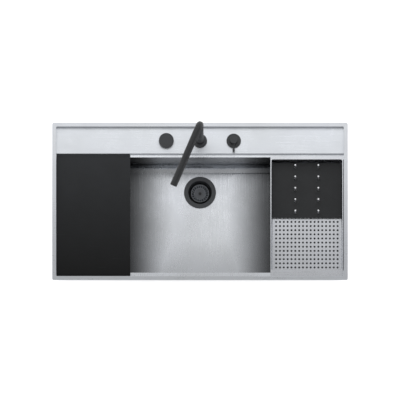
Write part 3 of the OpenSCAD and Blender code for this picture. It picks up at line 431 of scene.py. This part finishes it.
def damping(name):
    """Pressed damping mat: a coarse leathery face"""
    r = Recipe(name, roughness=0.8)
    cells = r.node("TexVoronoi", {"Vector": r.place, "Scale": 260.0}).outputs["Distance"]
    cloud = r.noise(40, detail=4)
    r.feed("Base Color", r.blend(cloud, (0.035, 0.036, 0.038, 1), (0.075, 0.076, 0.08, 1)))
    r.feed("Roughness", r.ranged(cloud, 0.72, 0.9))
    r.bump(cells, 0.5, 0.0008)
    return r.material


def moulded(name, colour, roughness=0.40):
    """Injection moulded plastic with a fine spark texture"""
    r = Recipe(name, roughness=roughness)
    spark = r.noise(2200, detail=2)
    flow = r.noise(25, detail=3)
    r.feed("Base Color", r.blend(r.ranged(flow, 0, 1), tone(colour, 0.88), tone(colour, 1.15)))
    r.feed("Roughness", r.ranged(flow, roughness - 0.04, roughness + 0.08))
    r.bump(spark, 0.18, 0.00008)
    return r.material


def brassy(name, colour):
    """Turned brass, slightly dulled"""
    r = Recipe(name, metallic=1.0, roughness=0.30)
    turning = r.noise(1.0, detail=4, place=r.scaled((90, 90, 2400)))
    tarnish = r.noise(45, detail=5, roughness=0.6)
    base = r.blend(r.remap(tarnish, 0.4, 0.75, 0, 1), tone(colour, 1.05), tone(colour, 0.62))
    r.feed("Base Color", base)
    r.feed("Roughness", r.maths("ADD", r.ranged(turning, 0.22, 0.34),
                                r.remap(tarnish, 0.35, 0.75, 0, 0.14)))
    r.bump(turning, 0.10, 0.00008)
    return r.material


def finish(name):
    """The material of that name"""
    return bpy.data.materials[name]


def dress(material, *nodes):
    """Gives CAD nodes their finish"""
    for node in nodes:
        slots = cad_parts[node].material_slots
        if not slots:
            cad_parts[node].data.materials.append(material)
        for slot in slots:
            slot.material = material


# ---------- shared mesh work ----------

def upright_axis(node):
    """The middle of a CAD node in plan, at height 0"""
    low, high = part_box(node)
    return Vector(((low.x + high.x) / 2, (low.y + high.y) / 2, 0))


def place_piece(name, bm, body, material, replaces=()):
    """Makes a mesh an object of the sink, smooth but for its sharp edges, on its body"""
    sharp = math.radians(35)
    bmesh.ops.recalc_face_normals(bm, faces=bm.faces[:])
    for face in bm.faces:
        face.smooth = True
    for edge in bm.edges:
        if len(edge.link_faces) == 2 and edge.calc_face_angle() > sharp:
            edge.smooth = False
    mesh = bpy.data.meshes.new(name)
    bm.to_mesh(mesh)
    bm.free()
    mesh.materials.append(material)
    piece = bpy.data.objects.new(name, mesh)
    even = piece.modifiers.new("Even shading", "WEIGHTED_NORMAL")
    even.keep_sharp, even.weight = True, 80
    bpy.context.scene.collection.objects.link(piece)
    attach(piece, body)
    if replaces:
        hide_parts(*replaces)


def soften(bm, edges, width, segments=3):
    """Rounds edges by a width"""
    bmesh.ops.bevel(bm, geom=edges, offset=width, offset_type="OFFSET", segments=segments,
                    profile=0.5, affect="EDGES", clamp_overlap=True, material=-1)


def eased_copy(node, ease, segments=2):
    """A copy of a CAD node whose sharp edges are rounded a little"""
    flat, crisp = math.radians(1), math.radians(40)
    bm = bmesh.new()
    bm.from_mesh(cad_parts[node].data)
    bmesh.ops.remove_doubles(bm, verts=bm.verts[:], dist=1e-6)
    bmesh.ops.dissolve_limit(bm, angle_limit=flat, verts=bm.verts[:], edges=bm.edges[:])
    edges = [edge for edge in bm.edges
             if len(edge.link_faces) == 2 and edge.calc_face_angle() > crisp]
    soften(bm, edges, ease, segments)
    return bm


def swept(geom):
    """The corners of an extruded row, and the edges that run only between them"""
    verts = [g for g in geom if isinstance(g, bmesh.types.BMVert)]
    kept = set(verts)
    edges = [g for g in geom if isinstance(g, bmesh.types.BMEdge)
             and all(v in kept for v in g.verts)]
    return verts, edges


def turn_profile(bm, profile, middle, steps):
    """A closed outline of (radius, height) turned once round an upright axis"""
    corners = [bm.verts.new(middle + Vector((r, 0, z))) for r, z in profile]
    edges = [bm.edges.new((a, b)) for a, b in zip(corners, corners[1:] + corners[:1])]
    bmesh.ops.spin(bm, geom=corners + edges, cent=middle, axis=Z_AXIS, angle=2 * math.pi,
                   steps=steps, use_merge=True, use_duplicate=False)


def thread(middle, radius, low, high, pitch, depth, steps=40):
    """A helical ridge around an upright shank, sunk a little into it"""
    sunk = 0.0001
    bm = bmesh.new()
    turns = int((high - low - pitch) / pitch)
    foot = middle + Vector((radius - sunk, 0, low))
    tooth = [foot + Vector((out, 0, up * pitch))
             for out, up in ((0, 0), (depth, 0.4), (depth, 0.5), (0, 0.9))]
    start = bm.faces.new([bm.verts.new(p) for p in tooth])
    bmesh.ops.spin(bm, geom=[start, *start.edges, *start.verts], cent=middle, axis=Z_AXIS,
                   dvec=(0, 0, pitch / steps), angle=2 * math.pi * turns, steps=steps * turns,
                   use_duplicate=False)
    return bm


# ---------- operators ----------

class SINK_OT_materials(bpy.types.Operator):
    """Make the metals, coatings and plastics and give them to the CAD parts"""

    bl_idname = "sink.materials"
    bl_label = "Materials"

    def execute(self, context):
        c = context.scene.sink_colours
        dress(brushed("rim_steel", c.steel, "x", streaks=0.35, clouds=0.25), "rim_frame")
        # painted light: the deck gets a lighter copy of the rim's steel
        dress(brushed("lightened_deck_steel", c.lightened_deck_steel, "x", streaks=0.35, clouds=0.5), "tap_deck")
        dress(brushed("lightened_bowl_steel", c.lightened_bowl_steel, "y", roughness=0.28, streaks=0.3,
                      clouds=1.6, painted_shade=painted_bowl_shade), "bowl")
        dress(brushed("tray_steel", c.tray_steel, "x", roughness=0.27, streaks=0.6,
                      painted_shade=painted_hole_shade), "drainer_tray")
        dress(polished("polished_steel", (0.92, 0.93, 0.95)), "pegs")
        dress(machined("machined_steel", c.machined), "clip_blocks", "clips", "clip_screws",
              "overflow_screws", "peg_screws", "tap_washers", "centre_screw", "lift_pin",
              "mixer_stem")
        dress(coated("gunmetal_coating", c.coating), "spout_base", "knob_base", "waste_knob",
              "mixer_base", "mixer_hub", "lever", "overflow_grille")
        # painted shade: the spout gets a darker copy of the tap coating
        dress(coated("shaded_spout_coating", [0.5 * v for v in c.coating], 0.48), "spout")
        # painted light: the waste flange and the strainer basket, down in the shaded drain, get
        # lighter copies of the tap coating
        dress(coated("lightened_waste_coating", [1.5 * v for v in c.coating], 0.36), "waste_flange")
        grip_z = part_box("strainer_basket")[1].z - 0.003
        grip = upright_axis("strainer_basket") + grip_z * Z_AXIS
        dress(coated("lightened_basket_coating", [2.7 * v for v in c.coating], 0.34, grip),
              "strainer_basket")
        dress(laminate("board_laminate", c.board, True), "chopping_board")
        dress(laminate("panel_laminate", c.panel, False), "peg_panel")
        dress(rubbery("black_rubber", c.rubber), "rim_seal", "overflow_gasket", "upper_gasket",
              "lower_gasket", "basket_seal", "tap_gaskets", "spout_rings", "board_pads",
              "panel_feet")
        dress(damping("damping_mat"), "sound_pads")
        dress(moulded("black_plastic", c.plastic), "overflow_housing", "waste_body",
              "cable_gland", "cable_drum", "aerator")
        dress(moulded("valve_plastic", (0.66, 0.66, 0.62), 0.30), "cartridge")
        dress(brassy("turned_brass", c.brass), "tap_nuts", "knob_spindle", "inlet_block")
        return {"FINISHED"}


class SINK_OT_rim(bpy.types.Operator):
    """Round the folded edges of the rim"""

    bl_idname = "sink.rim"
    bl_label = "Rim edges"

    def execute(self, context):
        ease = context.scene.sink_sizes.rim_ease
        place_piece("rim_sheet", eased_copy("rim_frame", ease), "basin",
                    finish("rim_steel"), ["rim_frame"])
        return {"FINISHED"}


class SINK_OT_bowl(bpy.types.Operator):
    """Round the bowl's edges and ease its floor into the rear bend"""

    bl_idname = "sink.bowl"
    bl_label = "Bowl"

    def execute(self, context):
        bm = eased_copy("bowl", context.scene.sink_sizes.bowl_ease)
        foot_y, bend_top, edge_z, land_z = 0.1322, -0.178, -0.203, -0.209
        land_x, corner_x, slack = 0.060, 0.4615, 0.0005
        cuts = [side * x for side in (-1, 1) for x in (land_x, 0.16, 0.26, 0.36)]
        for x in cuts:
            bmesh.ops.bisect_plane(bm, geom=bm.verts[:] + bm.edges[:] + bm.faces[:],
                                   plane_co=(x, 0, 0), plane_no=X_AXIS, dist=1e-6)
        for vert in bm.verts:
            x, y, z = abs(vert.co.x), vert.co.y, vert.co.z
            if x < corner_x and y > foot_y - slack and z < bend_top:
                fall = (land_z - edge_z) * min((corner_x - x) / (corner_x - land_x), 1)
                bent = min((bend_top - z) / (bend_top - edge_z), 1)
                vert.co.z += fall * bent
        place_piece("bowl_sheet", bm, "basin", finish("lightened_bowl_steel"), ["bowl"])
        return {"FINISHED"}


class SINK_OT_laminates(bpy.types.Operator):
    """Ease the edges of the chopping board and the peg panel"""

    bl_idname = "sink.laminates"
    bl_label = "Board and panel edges"

    def execute(self, context):
        ease = context.scene.sink_sizes.laminate_ease
        place_piece("board_slab", eased_copy("chopping_board", ease, 1), "board",
                    finish("board_laminate"), ["chopping_board"])
        place_piece("panel_slab", eased_copy("peg_panel", ease, 1), "peg_rack",
                    finish("panel_laminate"), ["peg_panel"])
        return {"FINISHED"}


class SINK_OT_spout(bpy.types.Operator):
    """Bend the spout pipe from one circle and close its arm's end"""

    bl_idname = "sink.spout"
    bl_label = "Spout"

    def execute(self, context):
        steps = context.scene.sink_sizes.pipe_steps
        top, base_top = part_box("spout")[1].z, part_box("spout_base")[1].z
        radius, bend, reach, clearance = 0.012, 0.022, 0.230, 0.0003
        collar_inset, heading = 0.016, math.radians(-23)
        arm_z = top - radius
        bm = bmesh.new()
        self.pipe(bm, steps, radius, bend, reach, base_top + clearance, arm_z)
        self.journal(bm, steps, base_top)
        self.collar(bm, steps, Vector((0, collar_inset - reach, arm_z - radius)))
        bmesh.ops.rotate(bm, verts=bm.verts[:], cent=(0, 0, 0),
                         matrix=Matrix.Rotation(heading, 3, "Z"))
        bmesh.ops.translate(bm, verts=bm.verts[:], vec=upright_axis("spout_base"))
        place_piece("spout_pipe", bm, "spout", finish("shaded_spout_coating"), ["spout"])
        return {"FINISHED"}

    def pipe(self, bm, steps, radius, bend, reach, foot_z, arm_z):
        """The riser, the bend and the arm, swept by one circle"""
        bend_steps, end_ease = 24, 0.0007
        bmesh.ops.create_circle(bm, cap_ends=False, segments=steps, radius=radius)
        bmesh.ops.translate(bm, verts=bm.verts[:], vec=Vector((0, 0, foot_z)))
        verts, edges = swept(bmesh.ops.extrude_edge_only(bm, edges=bm.edges[:])["geom"])
        bmesh.ops.translate(bm, verts=verts, vec=Vector((0, 0, arm_z - bend - foot_z)))
        turned = bmesh.ops.spin(bm, geom=verts + edges, cent=(0, -bend, arm_z - bend),
                                axis=X_AXIS, angle=math.pi / 2, steps=bend_steps,
                                use_duplicate=False)["geom_last"]
        arm = bmesh.ops.extrude_edge_only(bm, edges=swept(turned)[1])["geom"]
        verts, edges = swept(arm)
        bmesh.ops.translate(bm, verts=verts, vec=Vector((0, -(reach - bend), 0)))
        bmesh.ops.contextual_create(bm, geom=edges)
        soften(bm, edges, end_ease)
        bmesh.ops.contextual_create(bm, geom=[e for e in bm.edges if e.is_boundary])

    def journal(self, bm, steps, top):
        """The turned foot in the rosette, with the grooves of its two rings"""
        outer, bore, groove, half_groove = 0.010, 0.007, 0.008, 0.001
        head, foot = top + 0.0002, top - 0.026
        walls = [(outer, head), (bore, head), (bore, foot), (outer, foot)]
        for z in (top - 0.017, top - 0.008):
            walls += [(outer, z - half_groove), (groove, z - half_groove),
                      (groove, z + half_groove), (outer, z + half_groove)]
        turn_profile(bm, walls, Vector((0, 0, 0)), steps)

    def collar(self, bm, steps, under):
        """The short sleeve under the arm that holds the aerator"""
        outer, bore, foot, head = 0.0105, 0.0090, -0.003, 0.004
        walls = [(outer, -0.0026), (0.0101, foot), (0.0092, foot), (bore, -0.0027),
                 (bore, head), (outer, head)]
        turn_profile(bm, walls, under, steps)


class SINK_OT_basket(bpy.types.Operator):
    """Press the strainer basket with its tapering slots, its skirt and its grip"""

    bl_idname = "sink.basket"
    bl_label = "Strainer basket"

    def execute(self, context):
        slots = context.scene.sink_sizes.basket_slots
        low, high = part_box("strainer_basket")
        edge, disc, sheet = (high.x - low.x) / 2, 0.019, 0.0015
        ring_top, dished, grip_height = high.z, 0.008, 0.006
        disc_top = ring_top - dished
        bm = bmesh.new()
        self.dish(bm, slots, edge, disc, ring_top, disc_top, low.z)
        bmesh.ops.recalc_face_normals(bm, faces=bm.faces[:])
        bmesh.ops.solidify(bm, geom=bm.faces[:], thickness=sheet)
        self.grip(bm, disc_top, disc_top + grip_height)
        bmesh.ops.translate(bm, verts=bm.verts[:], vec=upright_axis("strainer_basket"))
        place_piece("basket_pressing", bm, "basket", finish("lightened_basket_coating"),
                    ["strainer_basket"])
        return {"FINISHED"}

    def dish(self, bm, slots, edge, disc, ring_top, disc_top, foot):
        """The sheet's outer face, turned once round, with its slots and skirt windows open"""
        eye, ring, window = 0.003, edge - 0.002, (foot + 0.005, foot + 0.010)
        soft, soft_drop, edge_ease, slot_inset = 0.0006, 0.0005, 0.0004, 0.001
        half_window, near_eye = 9.5, 0.004
        profile = [(eye, disc_top), (disc, disc_top), (disc + soft, disc_top + soft_drop),
                   (ring - soft, ring_top - soft_drop), (ring, ring_top),
                   (edge - edge_ease, ring_top), (edge, ring_top - edge_ease),
                   (edge, window[1]), (edge, window[0]), (edge, foot)]
        corners = [bm.verts.new((r, 0, z)) for r, z in profile]
        edges = [bm.edges.new(pair) for pair in zip(corners, corners[1:])]
        bmesh.ops.spin(bm, geom=corners + edges, cent=(0, 0, 0), axis=Z_AXIS,
                       angle=2 * math.pi, steps=4 * slots, use_merge=True, use_duplicate=False)
        bm.normal_update()
        cut = []
        for face in bm.faces:
            at = face.calc_center_median()
            turn = math.degrees(math.atan2(at.y, at.x)) % 360
            reach = math.hypot(at.x, at.y)
            in_slot = (disc + slot_inset < reach < ring - slot_inset
                       and turn * slots / 360 % 1 < 0.5)
            in_window = window[0] < at.z < window[1] and abs(turn % 90 - 45) < half_window
            if in_slot or (in_window and reach > ring):
                cut.append(face)
        bmesh.ops.delete(bm, geom=cut, context="FACES")
        inner = [e for e in bm.edges if e.is_boundary
                 and all(math.hypot(v.co.x, v.co.y) < near_eye for v in e.verts)]
        bmesh.ops.contextual_create(bm, geom=inner)

    def grip(self, bm, disc_top, top):
        """The neck and the soft-edged grip on it"""
        neck_radius, grip_radius, grip_thick, grip_ease = 0.0028, 0.0045, 0.003, 0.0008
        self.bar(bm, neck_radius, disc_top - 0.0004, top - 0.0014)
        made = set(self.bar(bm, grip_radius, top - grip_thick, top))
        rims = [e for e in bm.edges if set(e.verts) <= made
                and e.verts[0].co.z == e.verts[1].co.z]
        soften(bm, rims, grip_ease)

    def bar(self, bm, radius, low, high):
        """The corners of a new round bar between two heights"""
        made = bmesh.ops.create_cone(bm, cap_ends=True, segments=40, radius1=radius,
                                     radius2=radius, depth=high - low)["verts"]
        bmesh.ops.translate(bm, verts=made, vec=Vector((0, 0, (low + high) / 2)))
        return made


class SINK_OT_threads(bpy.types.Operator):
    """Cut the threads of the tap shanks, the inlet tails, the nipple and the waste outlet"""

    bl_idname = "sink.threads"
    bl_label = "Threads"

    def execute(self, context):
        sizes = context.scene.sink_sizes
        lead = 0.001
        nuts_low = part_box("tap_nuts")[0].z
        shank_foot, nut_gap, shank_radius, shank_depth = nuts_low - 0.0305, 0.0002, 0.016, 0.0006
        for node in ("knob_base", "spout_base", "mixer_base"):
            place_piece(node + "_thread",
                        thread(upright_axis(node), shank_radius, shank_foot + lead,
                               nuts_low - nut_gap, sizes.shank_pitch, shank_depth),
                        "basin", finish("gunmetal_coating"))
        tails_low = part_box("inlet_block")[0].z
        middle = Vector((upright_axis("inlet_block").x, upright_axis("mixer_base").y, 0))
        tail_end, tail_depth, tail_steps = 0.0125, 0.0005, 32
        tail_ring, tail_radius, nipple_radius = 0.0135, 0.0083, 0.008
        for angle, name in ((30, "cold"), (150, "hot"), (270, "mixed")):
            out = Vector((math.cos(math.radians(angle)), math.sin(math.radians(angle)), 0))
            place_piece(name + "_tail_thread",
                        thread(middle + tail_ring * out, tail_radius, tails_low + lead,
                               tails_low + tail_end, sizes.tail_pitch, tail_depth, tail_steps),
                        "basin", finish("turned_brass"))
        nipple_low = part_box("spout_base")[0].z
        place_piece("nipple_thread",
                    thread(upright_axis("spout_base"), nipple_radius, nipple_low + lead,
                           nipple_low + tail_end, sizes.tail_pitch, tail_depth, tail_steps),
                    "basin", finish("gunmetal_coating"))
        outlet_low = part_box("waste_body")[0].z
        outlet_radius, outlet_end, outlet_depth, outlet_steps = 0.0239, 0.020, 0.0009, 56
        place_piece("outlet_thread",
                    thread(upright_axis("waste_flange"), outlet_radius, outlet_low + lead,
                           outlet_low + outlet_end, sizes.outlet_pitch, outlet_depth,
                           outlet_steps),
                    "basin", finish("black_plastic"))
        return {"FINISHED"}


class SINK_OT_studio(bpy.types.Operator):
    """Set the floor, the lamps, the surroundings and the camera"""

    bl_idname = "sink.studio"
    bl_label = "Studio"

    def execute(self, context):
        scene, s = context.scene, context.scene.sink_studio
        self.floor(scene, s)
        self.key_lamp(scene, s)
        self.surroundings(scene, s)
        self.camera(scene, s)
        scene.view_settings.view_transform = "Standard"
        return {"FINISHED"}

    def floor(self, scene, s):
        """A round floor that curves up into a wall"""
        below, flat, curve, curve_rows, wall = 0.0005, 6.5, 2.0, 12, 1.5
        low = CAD_BOX[0].z - below
        bm = bmesh.new()
        bmesh.ops.create_circle(bm, cap_ends=True, segments=96, radius=flat)
        bmesh.ops.translate(bm, verts=bm.verts[:], vec=Vector((0, 0, low)))
        edges, reach = [e for e in bm.edges if e.is_boundary], flat
        for row in range(1, curve_rows + 2):
            turn = min(row, curve_rows) * math.pi / (2 * curve_rows)
            grown = flat + curve * math.sin(turn)
            rise = low + curve * (1 - math.cos(turn)) + (wall if row > curve_rows else 0)
            verts, edges = swept(bmesh.ops.extrude_edge_only(bm, edges=edges)["geom"])
            bmesh.ops.scale(bm, verts=verts, vec=Vector((grown / reach, grown / reach, 1)))
            bmesh.ops.translate(bm, verts=verts, vec=Vector((0, 0, rise - verts[0].co.z)))
            reach = grown
        for face in bm.faces:
            face.smooth = len(face.verts) == 4
        mesh = bpy.data.meshes.new("floor")
        bm.to_mesh(mesh)
        bm.free()
        floor = bpy.data.objects.new("floor", mesh)
        scene.collection.objects.link(floor)
        mesh.materials.append(self.floor_finish(s))

    def floor_finish(self, s):
        """Pale floor that glows white around the sink, to the camera and in reflections"""
        glow_start, glow_full, glow = 0.16, 0.02, 0.82
        r = Recipe("pale_floor", roughness=0.9)
        speck = r.noise(40, detail=3)
        r.feed("Base Color", r.blend(speck, tone(s.floor_colour, 0.985), tone(s.floor_colour, 1.0)))
        path = r.node("LightPath").outputs
        seen = r.maths("MAXIMUM", path["Is Camera Ray"],
                       r.maths("MAXIMUM", path["Is Glossy Ray"], path["Is Transmission Ray"]))
        at = r.axes(r.place)
        beside, before = [r.ramp(r.maths("ABSOLUTE", at[axis]), edge - glow_start,
                                 edge - glow_full, 0, 1)
                          for axis, edge in (("X", CAD_BOX[1].x), ("Y", CAD_BOX[1].y))]
        open_floor = r.maths("MAXIMUM", beside, before)
        r.shader.inputs["Emission Color"].default_value = WHITE
        r.feed("Emission Strength", r.maths("MULTIPLY", r.maths("MULTIPLY", seen, open_floor),
                                            glow))
        return r.material

    def key_lamp(self, scene, s):
        """A wide lamp above the tap side"""
        at, aim = Vector((0, 0.85, 1.35)), Vector((0, 0.10, 0))
        lamp = bpy.data.lights.new("key_lamp", "AREA")
        lamp.shape, lamp.energy = "RECTANGLE", s.key_power
        lamp.size, lamp.size_y = 2.4, 1.3
        thing = bpy.data.objects.new("key_lamp", lamp)
        thing.location = at
        thing.rotation_euler = (aim - at).to_track_quat("-Z", "Y").to_euler()
        thing.visible_camera = False
        scene.collection.objects.link(thing)

    def surroundings(self, scene, s):
        """Even light from all around"""
        world = bpy.data.worlds.new("surroundings")
        scene.world = world
        world.use_nodes = True
        back = world.node_tree.nodes["Background"]
        back.inputs["Color"].default_value = WHITE
        back.inputs["Strength"].default_value = s.fill

    def camera(self, scene, s):
        """A view without perspective from above, tilted a little towards the front"""
        rim_top, distance = 0.003, 4
        lens = bpy.data.cameras.new("camera")
        lens.type, lens.ortho_scale = "ORTHO", s.width
        camera = bpy.data.objects.new("camera", lens)
        aim = Vector((0, s.aim_y, rim_top))
        camera.location = aim + distance * Vector((0, -math.sin(s.tilt), math.cos(s.tilt)))
        camera.rotation_euler = (s.tilt, 0, 0)
        lens.clip_start, lens.clip_end = 0.1, 40
        scene.collection.objects.link(camera)
        scene.camera = camera


OPERATORS = (SINK_OT_materials, SINK_OT_rim, SINK_OT_bowl, SINK_OT_laminates, SINK_OT_spout,
             SINK_OT_basket, SINK_OT_threads, SINK_OT_studio)


class SINK_PT_panel(bpy.types.Panel):
    """Values and steps of the sink's finish"""

    bl_label = "Sink finish"
    bl_idname = "SINK_PT_panel"
    bl_space_type = "VIEW_3D"
    bl_region_type = "UI"
    bl_category = "Sink"

    def draw(self, context):
        scene = context.scene
        for group in (scene.sink_colours, scene.sink_sizes, scene.sink_studio):
            box = self.layout.box()
            for name in group.bl_rna.properties.keys():
                if name not in ("rna_type", "name"):
                    box.prop(group, name)
        for operator in OPERATORS:
            self.layout.operator(operator.bl_idname)


CLASSES = (SinkColours, SinkSizes, SinkStudio, *OPERATORS, SINK_PT_panel)


def register():
    for each in CLASSES:
        bpy.utils.register_class(each)
    bpy.types.Scene.sink_colours = PointerProperty(type=SinkColours)
    bpy.types.Scene.sink_sizes = PointerProperty(type=SinkSizes)
    bpy.types.Scene.sink_studio = PointerProperty(type=SinkStudio)


def unregister():
    del bpy.types.Scene.sink_colours
    del bpy.types.Scene.sink_sizes
    del bpy.types.Scene.sink_studio
    for each in reversed(CLASSES):
        bpy.utils.unregister_class(each)


def main():
    register()
    for operator in OPERATORS:
        group, name = operator.bl_idname.split(".")
        getattr(getattr(bpy.ops, group), name)()


if __name__ == "__main__":
    main()
